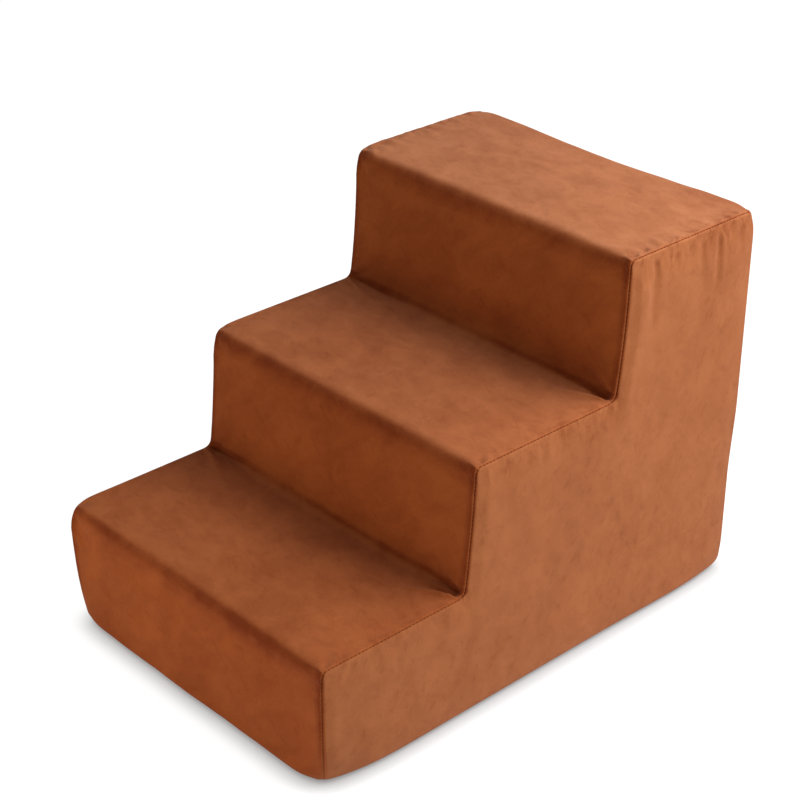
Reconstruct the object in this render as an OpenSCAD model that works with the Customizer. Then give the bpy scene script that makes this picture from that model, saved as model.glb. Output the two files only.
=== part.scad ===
// Three-step foam stairs for a pet, in a removable cloth cover with a zip low across the back.
// X runs across the steps, Y from the lowest step to the back, and Z up from the floor.
// Lengths are in millimetres.

/* [Steps] */
// Width between the edges of the two side panels
side_w = 374; // [300:1:480]
// Height of the first step
rise_1 = 136; // [110:1:170]
// Height from the first step to the second
rise_2 = 130; // [100:1:170]
// Height from the second step to the third
rise_3 = 140; // [100:1:170]
// Depth of the first tread
tread_1 = 181; // [150:1:240]
// Depth of the second tread
tread_2 = 192; // [150:1:240]
// Depth of the top tread
tread_3 = 181; // [150:1:240]

/* [Cushion form] */
// How far the middle of a tread stands above its edges
tread_crown = 3; // [1:0.5:6]
// How far the middle of a riser stands ahead of its edges
riser_crown = 2.5; // [1:0.5:6]
// How far the middle of a side panel stands out
side_crown = 3; // [1:0.5:6]
// How far the middle of the back stands out above the zip
back_crown = 2.5; // [1:0.5:6]
// Radius of the rolled front edges, away from the seams
nosing_r = 13; // [10:0.5:20]
// Radius of the same edges at the side seams
seam_corner_r = 8; // [6:0.5:10]
// Radius of the edge between the strip and a side panel
side_edge_r = 4; // [3.5:0.5:6]
// Radius of the rolled bottom edges
bottom_edge_r = 9.5; // [6:0.5:11]
// Radius of the front foot, seen from the side
front_foot_r = 13; // [12:1:24]
// Radius of the back foot, seen from the side
back_foot_r = 14; // [12:1:22]
// Radius of the cloth where it bridges an inner corner
inner_corner_r = 12; // [6:1:18]
// How far the bridging cloth stands ahead of the foam at the foot of a riser
bridge_d = 8; // [2:0.5:10]

/* [Cover] */
// Thickness of the cover cloth
cloth_t = 1.5; // [1:0.1:2]
// Gap between the cloth and the foam
cloth_gap = 0.3; // [0.2:0.05:0.6]
// How far a bottom seam lies in from the rolled edge
foot_tuck = 2; // [1:0.5:4]

/* [Zip] */
// Height of the zip's middle above the floor
zip_z = 60; // [50:1:72]
// Distance from a side panel's edge to where the slot is fully open
zip_margin = 21; // [18:1:60]
// Length over which the slot closes at each end
slot_taper = 9; // [6:1:11]
// Clearance between the slider and the folded cloth edges above and below it
slot_gap = 1.4; // [1:0.1:3]
// Thickness of a woven tape
tape_t = 0.6; // [0.4:0.05:0.8]
// Width of a woven tape, from its bead to its outer edge
tape_h = 14; // [10:0.5:18]
// Radius of the bead along a tape's inner edge
bead_r = 0.5; // [0.45:0.05:0.6]
// Spacing of the teeth along one tape
tooth_pitch = 2.6; // [2.4:0.1:3]
// Wall of a tooth round the bead
tooth_wall = 0.5; // [0.4:0.05:0.6]
// Clearance of a tooth round the bead and the tape
tooth_gap = 0.07; // [0.04:0.01:0.1]

/* [Slider] */
// Length of the slider
slider_l = 13; // [12:0.5:15]
// Thickness of each of its two plates
plate_t = 0.95; // [0.8:0.05:1.2]
// Wall of the side flanges that keep the chain between the plates
flange_w = 0.9; // [0.7:0.05:1]
// Clearance of the chain inside the slider
chain_gap = 0.2; // [0.1:0.05:0.3]
// Clearance of a tape in the slot between the flanges
tape_gap = 0.2; // [0.1:0.05:0.25]
// How far the slider widens from its back end to its shoulders, on each side
slider_flare = 1; // [0.5:0.1:1.2]
// Radius of the slider's corners
slider_corner_r = 1.3; // [0.8:0.1:1.5]
// Length of the bridge that carries the pull
bridge_l = 6.8; // [6:0.2:8]
// Width of the bridge
bridge_w = 2.4; // [2:0.1:3]
// Thickness of the bridge above the pull's bar
bridge_t = 0.9; // [0.7:0.05:1.2]

/* [Pull] */
// Length of the pull from its bar to its rounded end
pull_l = 27; // [20:0.5:32]
// Width of the pull
pull_w = 6.6; // [6:0.2:9]
// Thickness of the pull, and of its bar
pull_t = 1.2; // [1:0.05:1.4]
// Clearance of the pull round the bridge and over the slider
pull_gap = 0.35; // [0.2:0.05:0.5]

/* [Stops] */
// Length of each of the two stops at the closed end
top_stop_l = 4; // [3:0.5:6]
// Length of the stop at the open end
bottom_stop_l = 5; // [4:0.5:7]
// How far a stop stands out past the teeth, on each face
stop_proud = 0.4; // [0.3:0.05:0.6]
// Space left between the slider and a stop
stop_gap = 0.3; // [0.2:0.05:0.5]

/* [Hidden] */
$fn = 48;
overrun = 1;

// Zip sizes across the chain, measured from its middle line, and through its thickness
head_r_share = 0.265;
head_reach_share = 0.135;
neck_w_share = 0.36;
block_w_share = 0.74;
block_start_share = 0.42;
head_r = tooth_pitch * head_r_share;
head_reach = tooth_pitch * head_reach_share;
neck_w = tooth_pitch * neck_w_share;
block_w = tooth_pitch * block_w_share;
block_start = tooth_pitch * block_start_share;
bore_r = bead_r + tooth_gap;
bead_at = block_start + tooth_wall + bore_r;
chain_half = bead_at + bore_r + tooth_wall;
tooth_t = 2 * (bore_r + tooth_wall);
channel_half = chain_half + chain_gap;
channel_t = tooth_t + 2 * chain_gap;
slider_back_half = channel_half + flange_w;
slider_front_half = slider_back_half + slider_flare;
slot_open_half = slider_front_half + slot_gap;
plate_top = channel_t / 2 + plate_t;
bar_r = pull_t / 2;
bar_above = bar_r + pull_gap;
bridge_hole_h = bar_above + bar_r + pull_gap / 2;
bridge_h = bridge_hole_h + bridge_t;
stop_t = tooth_t + 2 * stop_proud;

// Depth of the zip's middle plane behind the face of the back, and what stands proud of that face
zip_sink = cloth_t + tape_t / 2;
zip_proud = max(0, plate_top + bridge_h - zip_sink);

// Places of the zip's parts along the slot
zip_l = side_w - 2 * zip_margin;
slot_end = zip_l / 2 + slot_taper;
stop_margin = 3;
top_stop_x = zip_l / 2 - stop_margin - top_stop_l;
slider_x = top_stop_x - stop_gap - slider_l / 2;
post_tip_share = 0.04;
post_tip = slider_l * post_tip_share;
last_tooth_x = slider_x + post_tip - stop_gap - block_w / 2;
bottom_stop_x = -zip_l / 2 + stop_margin + bottom_stop_l;
teeth_n = floor((last_tooth_x - bottom_stop_x - block_w) / tooth_pitch - 0.5) + 1;

// Outline of the stairs in the Y-Z plane
run = tread_1 + tread_2 + tread_3;
back_proud = max(zip_proud, back_crown);
front_y = -(riser_crown + run + back_proud) / 2 + riser_crown;
riser_2_y = front_y + tread_1;
riser_3_y = riser_2_y + tread_2;
back_y = front_y + run;
level_1 = rise_1;
level_2 = level_1 + rise_2;
level_3 = level_2 + rise_3;
zip_y = back_y - zip_sink;

// Corners of that outline, from the front foot over the steps to the back foot.
// Each corner has its place, the directions that the edges before and after it face,
// its turn (1 outward, -1 inward), and its radius at the seams and in the middle of the width.
DOWN = [0, -1];
FORWARD = [-1, 0];
UP = [0, 1];
BACKWARD = [1, 0];
CORNERS = [
    [[front_y, 0], DOWN, FORWARD, 1, front_foot_r, front_foot_r],
    [[front_y, level_1], FORWARD, UP, 1, seam_corner_r, nosing_r],
    [[riser_2_y, level_1], UP, FORWARD, -1, inner_corner_r, inner_corner_r],
    [[riser_2_y, level_2], FORWARD, UP, 1, seam_corner_r, nosing_r],
    [[riser_3_y, level_2], UP, FORWARD, -1, inner_corner_r, inner_corner_r],
    [[riser_3_y, level_3], FORWARD, UP, 1, seam_corner_r, nosing_r],
    [[back_y, level_3], UP, BACKWARD, 1, seam_corner_r, nosing_r],
    [[back_y, 0], BACKWARD, DOWN, 1, back_foot_r, back_foot_r]
];
EDGE_CROWNS = [
    riser_crown, tread_crown, riser_crown, tread_crown, riser_crown, tread_crown, back_crown, 0
];

// Where the outline has points on an edge, as shares of the edge
tread_shares = [0.2, 0.5, 0.8];
front_riser_shares = [0.5];
bridged_riser_shares = [0.15, 0.45, 0.75];
back_shares = [0.35, 0.7];
bottom_shares = [0.5];
// How far each point of a foot's arc has the rolled bottom edge
foot_shares = [1, 0.8, 0.4, 0.1];
no_foot_shares = [0, 0, 0, 0];
// The bridging cloth has come back to the foam at this share of a riser's height
bridged_share = 0.95;
arc_steps = 3;
// Share of the shallowest step over which a side panel rises to its full crown
panel_share = 0.3;
panel_inset = min(tread_1, tread_2, tread_3, rise_1, rise_2, rise_3) * panel_share;
seam_angle = 45;
least_corner_r = 1;
foam_corner_r = 1;
foot_flat = 6;

// A point of the outline: [corner, arc share or -1, edge share, crown share, bridge share,
// foot share, side of the zip]
function crown_share(u) = 1 - pow(abs(2 * u - 1), 3);
function bridge_share(u) = pow(max(0, 1 - u / bridged_share), 1.7);
function arc(corner, shares) = [
    for (k = [0 : arc_steps])
        [corner, k / arc_steps, 0, 0, CORNERS[corner][3] < 0 ? 1 : 0, shares[k], 0]
];
function edge(corner, shares) = [
    for (u = shares)
        [corner, -1, u, crown_share(u), CORNERS[corner][3] < 0 ? bridge_share(u) : 0,
            corner == 7 ? 1 : 0, 0]
];
function reversed(list) = [for (k = [len(list) - 1 : -1 : 0]) list[k]];

BAND_POINTS = concat(
    arc(0, foot_shares), edge(0, front_riser_shares),
    arc(1, no_foot_shares), edge(1, tread_shares),
    arc(2, no_foot_shares), edge(2, bridged_riser_shares),
    arc(3, no_foot_shares), edge(3, tread_shares),
    arc(4, no_foot_shares), edge(4, bridged_riser_shares),
    arc(5, no_foot_shares), edge(5, tread_shares),
    arc(6, no_foot_shares), edge(6, back_shares),
    [[6, -1, 0, 0, 0, 0, 1]]
);
HEM_ARC = arc(7, reversed(foot_shares));
HEM_POINTS = concat([[6, -1, 0, 0, 0, 0, -1]], HEM_ARC);
LOOP_POINTS = concat(BAND_POINTS, HEM_ARC, edge(7, bottom_shares));

// Stations across the stairs: -1 to 0 on the side panel, 0 to 2 round its edge with the seam at 1,
// and 2 to 3 from there to the middle of the width
edge_to_middle = side_w / 2 - side_edge_r;
slot_end_at = 2 + (zip_margin - slot_taper - side_edge_r) / edge_to_middle;
slot_full_at = 2 + (zip_margin - side_edge_r) / edge_to_middle;
across_shares = [0.23, 0.56, 1];
PANEL_STATIONS = [-1, -0.5, 0, 0.5, 1];
BAND_STATIONS = concat(
    [1, 2, slot_end_at, slot_full_at],
    [for (share = across_shares) mix(slot_full_at, 3, share)]
);
FOAM_STATIONS = [-1, -0.5, 0, 1, 2, 2.4, 3];

function mix(a, b, share) = a + (b - a) * share;
function slot_half(x) = slot_open_half * max(0, min(1, (slot_end - x) / slot_taper));

// Point at a share of a corner's arc, set in from the outline. The foam has its inner corners cut
// nearly sharp, and lies flat under the cloth from where the cloth leaves it.
function on_arc(corner, share, inset, to_middle, foam) =
    let (
        c = CORNERS[corner],
        sharp = foam && c[3] < 0,
        wanted = mix(c[4], c[5], 1 - pow(1 - to_middle, 4)),
        r = sharp ? foam_corner_r : c[3] > 0 ? max(wanted - inset, least_corner_r) : wanted + inset,
        turn = sharp ? 90 * (share * arc_steps - 1) / (arc_steps - 1) : 90 * share,
        vertex = c[0] - inset * (c[1] + c[2])
    )
    sharp && share == 0 ? vertex + (wanted + inset + bridge_d) * c[2]
        : vertex - c[3] * r * (c[1] * (1 - cos(turn)) + c[2] * (1 - sin(turn)));

// A point of the surface at a station, this deep below the outer face of the cloth
function surface_point(p, station, depth, foam) =
    let (
        foot = p[5],
        r = mix(side_edge_r, bottom_edge_r, foot),
        seam = mix(seam_angle, 90, foot),
        along = max(0, min(2, station)),
        turn = along <= 1 ? along * seam : mix(seam, 90, along - 1),
        to_middle = max(0, station - 2),
        panel = max(0, -station),
        inset = r - (r - depth) * sin(turn) + panel * panel_inset,
        tuck = foot * (foot_tuck * max(0, min(1, 2 * along - 1)) + foot_flat * max(0, along - 1)),
        edge_in = r - (r - depth) * cos(turn) + tuck,
        crown_out = side_crown * (1 - pow(1 - panel, 2)),
        x = side_w / 2 - mix(edge_in, side_w / 2, to_middle) + crown_out,
        start = on_arc(p[0], 1, inset, to_middle, foam),
        end = on_arc((p[0] + 1) % len(CORNERS), 0, inset, to_middle, foam),
        rise = EDGE_CROWNS[p[0]] * p[3] * (1 - pow(1 - to_middle, 3)),
        flat = p[1] >= 0 ? on_arc(p[0], p[1], inset, to_middle, foam)
            : p[6] != 0 ? [start[0], zip_z + p[6] * slot_half(x)]
            : mix(start, end, p[2]) + CORNERS[p[0]][2] * rise,
        bridged = foam ? 0 : bridge_d * p[4]
    )
    [x, flat[0] - bridged, flat[1]];

function row(points, station, depth, foam) = [
    for (p = points) surface_point(p, station, depth, foam)
];
function mirrored(rows) = [for (k = [len(rows) - 2 : -1 : 0]) [for (p = rows[k]) [-p[0], p[1], p[2]]]];
function rows(points, stations, depth, foam) = [
    for (s = stations) row(points, s, depth, foam)
];
function full_rows(points, stations, depth, foam) =
    let (right = rows(points, stations, depth, foam)) concat(right, mirrored(right));
function flatten(list) = [for (a = list) for (b = a) b];

// Middle of the part of a side panel from which all its edge is seen
function panel_middle(depth) = [
    side_w / 2 - depth + side_crown, (riser_3_y + back_y) / 2, rise_1 / 2
];

// A strip of cloth between an outer and an inner grid of points, closed along its four edges
module cloth_strip(outer, inner) {
    m = len(outer) - 1;
    n = len(outer[0]) - 1;
    function o(j, i) = j * (n + 1) + i;
    function u(j, i) = (m + 1) * (n + 1) + o(j, i);
    polyhedron(
        points = concat(flatten(outer), flatten(inner)),
        faces = concat(
            [for (j = [0 : m - 1]) for (i = [0 : n - 1]) for (f = [
                [o(j, i), o(j + 1, i), o(j + 1, i + 1)], [o(j, i), o(j + 1, i + 1), o(j, i + 1)],
                [u(j, i), u(j + 1, i + 1), u(j + 1, i)], [u(j, i), u(j, i + 1), u(j + 1, i + 1)]
            ]) f],
            [for (i = [0 : n - 1]) for (f = [
                [o(0, i), o(0, i + 1), u(0, i + 1)], [o(0, i), u(0, i + 1), u(0, i)],
                [o(m, i + 1), o(m, i), u(m, i + 1)], [o(m, i), u(m, i), u(m, i + 1)]
            ]) f],
            [for (j = [0 : m - 1]) for (f = [
                [o(j + 1, 0), o(j, 0), u(j, 0)], [o(j + 1, 0), u(j, 0), u(j + 1, 0)],
                [o(j, n), o(j + 1, n), u(j + 1, n)], [o(j, n), u(j + 1, n), u(j, n)]
            ]) f]
        ),
        convexity = 8
    );
}

// A panel of cloth whose rows close on themselves, filled in the middle of the first row
module cloth_panel(outer, inner, outer_middle, inner_middle) {
    m = len(outer) - 1;
    n = len(outer[0]);
    size = (m + 1) * n;
    function o(j, i) = j * n + i % n;
    function u(j, i) = size + o(j, i);
    polyhedron(
        points = concat(flatten(outer), flatten(inner), [outer_middle, inner_middle]),
        faces = concat(
            [for (j = [0 : m - 1]) for (i = [0 : n - 1]) for (f = [
                [o(j, i), o(j + 1, i), o(j + 1, i + 1)], [o(j, i), o(j + 1, i + 1), o(j, i + 1)],
                [u(j, i), u(j + 1, i + 1), u(j + 1, i)], [u(j, i), u(j, i + 1), u(j + 1, i + 1)]
            ]) f],
            [for (i = [0 : n - 1]) for (f = [
                [o(m, i + 1), o(m, i), u(m, i + 1)], [o(m, i), u(m, i), u(m, i + 1)],
                [o(0, i), o(0, i + 1), 2 * size], [u(0, i + 1), u(0, i), 2 * size + 1]
            ]) f]
        ),
        convexity = 8
    );
}

// A solid whose rows close on themselves, filled in the middle of its first and last rows
module solid_body(skin, first_middle, last_middle) {
    m = len(skin) - 1;
    n = len(skin[0]);
    size = (m + 1) * n;
    function o(j, i) = j * n + i % n;
    polyhedron(
        points = concat(flatten(skin), [first_middle, last_middle]),
        faces = concat(
            [for (j = [0 : m - 1]) for (i = [0 : n - 1]) for (f = [
                [o(j, i), o(j + 1, i), o(j + 1, i + 1)], [o(j, i), o(j + 1, i + 1), o(j, i + 1)]
            ]) f],
            [for (i = [0 : n - 1]) for (f = [
                [o(0, i), o(0, i + 1), size], [o(m, i + 1), o(m, i), size + 1]
            ]) f]
        ),
        convexity = 8
    );
}

// The whole of the foam, before it is divided into its slabs
module foam_block() {
    depth = cloth_t + cloth_gap;
    middle = panel_middle(depth);
    solid_body(
        full_rows(LOOP_POINTS, FOAM_STATIONS, depth, true),
        middle, [-middle[0], middle[1], middle[2]]
    );
}

// All the space above a tread's foam and behind the riser at its back. Its own corner lies inside
// the foam, just ahead of the foam's inner corner, and a steep slope bounds it from there.
module behind_riser(riser_y, level) {
    corner_y = riser_y + cloth_t + cloth_gap - foam_corner_r / 2;
    corner_z = level - cloth_t - cloth_gap;
    reach = run + level_3;
    translate([-side_w, 0, 0])
        rotate([90, 0, 90])
            linear_extrude(2 * side_w)
                polygon([
                    [corner_y, corner_z], [corner_y + reach, corner_z],
                    [corner_y + reach, corner_z + reach], [corner_y - reach / 2, corner_z + reach]
                ]);
}

// The hollow that the zip presses in the back of the foam: shallow behind the tapes,
// deeper along the slider's way
module zip_hollow() {
    foam_face = back_y - cloth_t - cloth_gap;
    tape_floor = zip_y - tape_t / 2 - cloth_gap;
    slider_floor = zip_y - plate_top - cloth_gap;
    tape_half = bead_at + tape_h + cloth_gap;
    slider_half = slider_front_half + cloth_gap;
    slope = foam_face - slider_floor;
    translate([-slot_end - cloth_gap, 0, zip_z])
        rotate([90, 0, 90])
            linear_extrude(2 * (slot_end + cloth_gap))
                polygon([
                    [foam_face + overrun, -tape_half], [tape_floor, -tape_half],
                    [tape_floor, -slider_half - slope], [slider_floor, -slider_half],
                    [slider_floor, slider_half], [tape_floor, slider_half + slope],
                    [tape_floor, tape_half], [foam_face + overrun, tape_half]
                ]);
}

module foam_base_slab() {
    color([0.93, 0.88, 0.72])
        difference() {
            foam_block();
            behind_riser(riser_2_y, level_1);
            zip_hollow();
        }
}

module foam_middle_slab() {
    color([0.95, 0.91, 0.78])
        difference() {
            intersection() {
                foam_block();
                behind_riser(riser_2_y, level_1);
            }
            behind_riser(riser_3_y, level_2);
        }
}

module foam_top_slab() {
    color([0.93, 0.88, 0.72])
        intersection() {
            foam_block();
            behind_riser(riser_3_y, level_2);
        }
}

module cover_band() {
    color([0.66, 0.38, 0.25])
        cloth_strip(
            full_rows(BAND_POINTS, BAND_STATIONS, 0, false),
            full_rows(BAND_POINTS, BAND_STATIONS, cloth_t, false)
        );
}

module cover_back_hem() {
    color([0.62, 0.35, 0.23])
        cloth_strip(
            full_rows(HEM_POINTS, BAND_STATIONS, 0, false),
            full_rows(HEM_POINTS, BAND_STATIONS, cloth_t, false)
        );
}

module side_panel() {
    cloth_panel(
        rows(LOOP_POINTS, PANEL_STATIONS, 0, false),
        rows(LOOP_POINTS, PANEL_STATIONS, cloth_t, false),
        panel_middle(0), panel_middle(cloth_t)
    );
}

module cover_side_right() {
    color([0.68, 0.40, 0.27]) side_panel();
}

module cover_side_left() {
    color([0.68, 0.40, 0.27]) mirror([1, 0, 0]) side_panel();
}

module cover_base() {
    base_half = side_w / 2 - bottom_edge_r - foot_tuck;
    color([0.24, 0.17, 0.14])
        translate([-base_half, front_y + front_foot_r, 0])
            cube([2 * base_half, run - front_foot_r - back_foot_r, cloth_t]);
}

// Zip parts are drawn with X along the chain, Y across it towards the floor and Z out of the back
module on_back() {
    translate([0, zip_y, zip_z]) rotate([-90, 0, 0]) children();
}

module zip_tape() {
    translate([-slot_end, bead_at, -tape_t / 2]) cube([2 * slot_end, tape_h, tape_t]);
    translate([-zip_l / 2, bead_at, 0]) rotate([0, 90, 0]) cylinder(r = bead_r, h = zip_l);
}

// The bore for a bead and the slot for its tape, through a piece that is clamped on them
module bead_cut(length, reach) {
    translate([-overrun, bead_at, 0])
        rotate([0, 90, 0])
            cylinder(r = bore_r, h = length + 2 * overrun);
    translate([-overrun, bead_at, -tape_t / 2 - tooth_gap])
        cube([length + 2 * overrun, reach, tape_t + 2 * tooth_gap]);
}

// A moulded tooth: a block clamped on the bead, a neck, and a round head that reaches past the
// middle line between two heads of the other tape
module tooth() {
    difference() {
        translate([0, 0, -tooth_t / 2])
            linear_extrude(tooth_t) {
                translate([-block_w / 2, block_start]) square([block_w, chain_half - block_start]);
                translate([-neck_w / 2, -head_reach])
                    square([neck_w, block_start + head_reach + tooth_wall]);
                translate([0, -head_reach]) circle(r = head_r);
            }
        translate([-block_w / 2, 0, 0]) bead_cut(block_w, chain_half);
    }
}

module tooth_row(shift) {
    for (k = [0 : teeth_n - 1]) translate([last_tooth_x - shift - k * tooth_pitch, 0, 0]) tooth();
}

module zip_tape_upper() {
    color([0.34, 0.19, 0.13]) on_back() mirror([0, 1, 0]) zip_tape();
}

module zip_tape_lower() {
    color([0.34, 0.19, 0.13]) on_back() zip_tape();
}

module zip_teeth_upper() {
    color([0.27, 0.15, 0.11]) on_back() mirror([0, 1, 0]) tooth_row(0);
}

module zip_teeth_lower() {
    color([0.27, 0.15, 0.11]) on_back() tooth_row(tooth_pitch / 2);
}

// Half of a stop, clamped on one bead, from this far off the middle line
module stop_half(length, from) {
    difference() {
        translate([0, from, -stop_t / 2]) cube([length, chain_half - from, stop_t]);
        bead_cut(length, chain_half);
    }
}

module zip_top_stops() {
    color([0.27, 0.15, 0.11])
        on_back()
            translate([top_stop_x, 0, 0])
                for (side = [0, 1]) mirror([0, side, 0]) stop_half(top_stop_l, block_start);
}

module zip_bottom_stop() {
    color([0.27, 0.15, 0.11])
        on_back()
            translate([bottom_stop_x - bottom_stop_l, 0, 0])
                for (side = [0, 1]) mirror([0, side, 0]) stop_half(bottom_stop_l, 0);
}

// A flat outline round circles of one radius, whose centres are given anticlockwise
module round_outline(centres, r) {
    n = len(centres);
    polygon([
        for (i = [0 : n - 1])
            for (step = [-1, 0])
                let (
                    a = centres[(i + step + n) % n],
                    b = centres[(i + step + 1) % n],
                    way = (b - a) / norm(b - a)
                )
                centres[i] + r * [way[1], -way[0]]
    ]);
    for (c = centres) translate(c) circle(r = r);
}

// Outline of the slider's plates, this much narrower than the plates on each side
shoulder_share = 0.22;
nose_half_share = 0.74;
module slider_outline(narrower) {
    r = slider_corner_r;
    back_x = -slider_l / 2 + r;
    nose_x = slider_l / 2 - r;
    back_half = slider_back_half - narrower - r;
    shoulder_half = slider_front_half - narrower - r;
    nose_half = slider_front_half * nose_half_share - r;
    shoulder_x = slider_l * shoulder_share;
    round_outline([
        [back_x, -back_half], [shoulder_x, -shoulder_half], [nose_x, -nose_half],
        [nose_x, nose_half], [shoulder_x, shoulder_half], [back_x, back_half]
    ], r);
}

// One plate with its two flanges, which stop short of the tape at the middle plane
module slider_plate() {
    translate([0, 0, channel_t / 2]) linear_extrude(plate_t) slider_outline(0);
    flange_foot = tape_t / 2 + tape_gap;
    translate([0, 0, flange_foot])
        linear_extrude(channel_t / 2 - flange_foot)
            difference() {
                slider_outline(0);
                slider_outline(flange_w);
                translate([-slider_l / 2 - overrun, -channel_half])
                    square([slider_l / 2, 2 * channel_half]);
                translate([slider_l * shoulder_share, -slider_front_half - overrun])
                    square([slider_l, 2 * (slider_front_half + overrun)]);
            }
}

// The diamond post that parts the chain and joins the two plates
post_back_share = 0.2;
post_front_share = 0.42;
post_half = bead_at - bead_r - chain_gap;
module slider_post() {
    widest_x = slider_l * post_back_share;
    front_x = slider_l * post_front_share;
    translate([0, 0, -channel_t / 2])
        linear_extrude(channel_t)
            polygon([
                [post_tip, 0], [widest_x, -post_half], [front_x, -post_half],
                [front_x, post_half], [widest_x, post_half]
            ]);
}

// The arched bridge over the pull's bar
bridge_hole_share = 0.44;
module slider_bridge() {
    half = bridge_l / 2;
    arch_r = (half * half + bridge_h * bridge_h) / (2 * bridge_h);
    hole_l = bridge_l * bridge_hole_share;
    hole_r = bar_r / 2;
    translate([0, bridge_w / 2, plate_top])
        rotate([90, 0, 0])
            linear_extrude(bridge_w)
                difference() {
                    intersection() {
                        translate([0, bridge_h - arch_r]) circle(r = arch_r);
                        translate([-half, -plate_t / 2]) square([bridge_l, bridge_h + plate_t]);
                    }
                    round_outline([
                        [-hole_l / 2 + hole_r, hole_r], [hole_l / 2 - hole_r, hole_r],
                        [hole_l / 2 - hole_r, bridge_hole_h - hole_r],
                        [-hole_l / 2 + hole_r, bridge_hole_h - hole_r]
                    ], hole_r);
                }
}

module zip_slider() {
    color([0.72, 0.71, 0.69])
        on_back()
            translate([slider_x, 0, 0]) {
                slider_plate();
                mirror([0, 0, 1]) slider_plate();
                slider_post();
                slider_bridge();
            }
}

// The pull: a tongue with a window round the bridge, whose end bar passes under the bridge.
// It lies back over the closed chain.
pull_hole_share = 0.27;
module zip_pull() {
    window_l = bridge_l / 2 + pull_gap;
    window_w = bridge_w + 2 * pull_gap;
    end_r = pull_w / 2;
    corner_r = end_r - window_w / 2;
    hole_r = pull_w * pull_hole_share;
    color([0.72, 0.71, 0.69])
        on_back()
            translate([slider_x, 0, plate_top + bar_above]) {
                translate([0, 0, -pull_t / 2])
                    linear_extrude(pull_t)
                        difference() {
                            union() {
                                translate([-pull_l + end_r, 0]) circle(r = end_r);
                                translate([-pull_l + end_r, -end_r]) square([pull_l - end_r, pull_w]);
                            }
                            translate([-window_l, -window_w / 2]) square([window_l + overrun, window_w]);
                            translate([-pull_l + end_r + corner_r, 0]) circle(r = hole_r);
                        }
                translate([0, -end_r, 0]) rotate([-90, 0, 0]) cylinder(r = bar_r, h = pull_w);
            }
}

foam_base_slab();
foam_middle_slab();
foam_top_slab();
cover_band();
cover_side_left();
cover_side_right();
cover_back_hem();
cover_base();
zip_tape_upper();
zip_tape_lower();
zip_teeth_upper();
zip_teeth_lower();
zip_top_stops();
zip_bottom_stop();
zip_slider();
zip_pull();
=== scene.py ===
"""Looks of three-step foam stairs for a pet, in a suede-like cover with a zip low across the back.

Lengths are in metres, in the frame's axes: X across the steps, Y from the lowest step to the
back and Z up from the floor. Cloth is made as closed sheets of its real thickness, on fine grids
that follow the cover's cut.
"""
import math
from collections import namedtuple

import bpy
import numpy as np
from mathutils import Matrix, Vector
from mathutils.geometry import delaunay_2d_cdt
from mathutils.kdtree import KDTree


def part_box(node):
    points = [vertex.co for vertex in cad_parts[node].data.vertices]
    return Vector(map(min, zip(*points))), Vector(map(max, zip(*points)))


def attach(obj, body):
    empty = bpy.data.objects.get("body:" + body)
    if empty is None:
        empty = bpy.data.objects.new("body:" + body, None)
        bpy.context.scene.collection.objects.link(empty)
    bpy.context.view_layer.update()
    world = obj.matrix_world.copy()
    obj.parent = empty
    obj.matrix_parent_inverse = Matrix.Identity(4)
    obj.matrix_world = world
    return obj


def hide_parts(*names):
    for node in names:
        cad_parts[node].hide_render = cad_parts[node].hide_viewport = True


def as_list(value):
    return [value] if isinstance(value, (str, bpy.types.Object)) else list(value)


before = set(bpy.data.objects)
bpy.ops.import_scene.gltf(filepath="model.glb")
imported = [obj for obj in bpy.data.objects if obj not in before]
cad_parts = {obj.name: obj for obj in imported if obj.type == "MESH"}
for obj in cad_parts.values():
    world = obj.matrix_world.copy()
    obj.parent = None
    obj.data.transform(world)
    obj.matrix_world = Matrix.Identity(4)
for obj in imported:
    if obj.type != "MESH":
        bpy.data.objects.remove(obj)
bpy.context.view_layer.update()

MM = 0.001
CROSS, BACK = np.eye(3)[:2]
join = np.concatenate


def mm(*sizes):
    return np.array(sizes) * MM


# Sizes of the stairs
RISES, TREADS = mm(136, 130, 140), mm(181, 192, 181)
TREAD_CROWN, RISER_CROWN, SIDE_CROWN, BACK_CROWN = mm(3, 2.5, 3, 2.6)
NOSING_R, SEAM_CORNER_R, SIDE_EDGE_R = mm(13, 8, 4)
BACK_CORNER_R, BACK_NOSING_R, BOTTOM_EDGE_R = mm(6, 16, 9.5)
FRONT_FOOT_R, BACK_FOOT_R, FOOT_TUCK, FOOT_FLAT = mm(12, 14, 2, 6)
CLOTH_T, CLOTH_GAP = mm(1.5, 0.3)

# How the cloth bridges an inner corner: how far ahead of the riser, how much of each edge the round
# takes, and how the bridge fades towards the nosing
BRIDGE, HOLLOW_AT_SEAM, HOLLOW_IN_MIDDLE = mm(10, 9, 13)
BRIDGE_TOP, BRIDGE_POWERS = 0.95, {2: 1.4, 4: 2.0}

# Places that the frame's boxes give
HALF_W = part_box("cover_side_right")[1].x - SIDE_CROWN
REACH = HALF_W - SIDE_EDGE_R
FRONT_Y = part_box("cover_band")[0].y + RISER_CROWN
RISER_YS = FRONT_Y + join([[0], np.cumsum(TREADS)])
BACK_Y = RISER_YS[3]
LEVELS = np.cumsum(RISES)
slider_low, slider_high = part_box("zip_slider")
ZIP_Z = (slider_low.z + slider_high.z) / 2
SLOT_GAP, SLOT_TAPER = mm(1.4, 9)
SLOT_HALF = (slider_high.z - slider_low.z) / 2 + SLOT_GAP
SLOT_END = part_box("zip_tape_upper")[1].x
SIDE_NAMES, ROW_NAMES = {1: "right", -1: "left"}, {1: "upper", -1: "lower"}

# The finish of the meshes
STEP, LEAST_R = mm(2.6, 1)
CROWN_RUN = 0.38
SEED, NOISE_CELLS, NOISE_START = 20, 97, (40.3, 40.7)


def mix(a, b, share):
    return a + (b - a) * share


def smooth(t):
    t = np.clip(t, 0, 1)
    return t * t * (3 - 2 * t)


def hill(distance, width):
    return np.exp(-((distance / width) ** 2))


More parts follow.
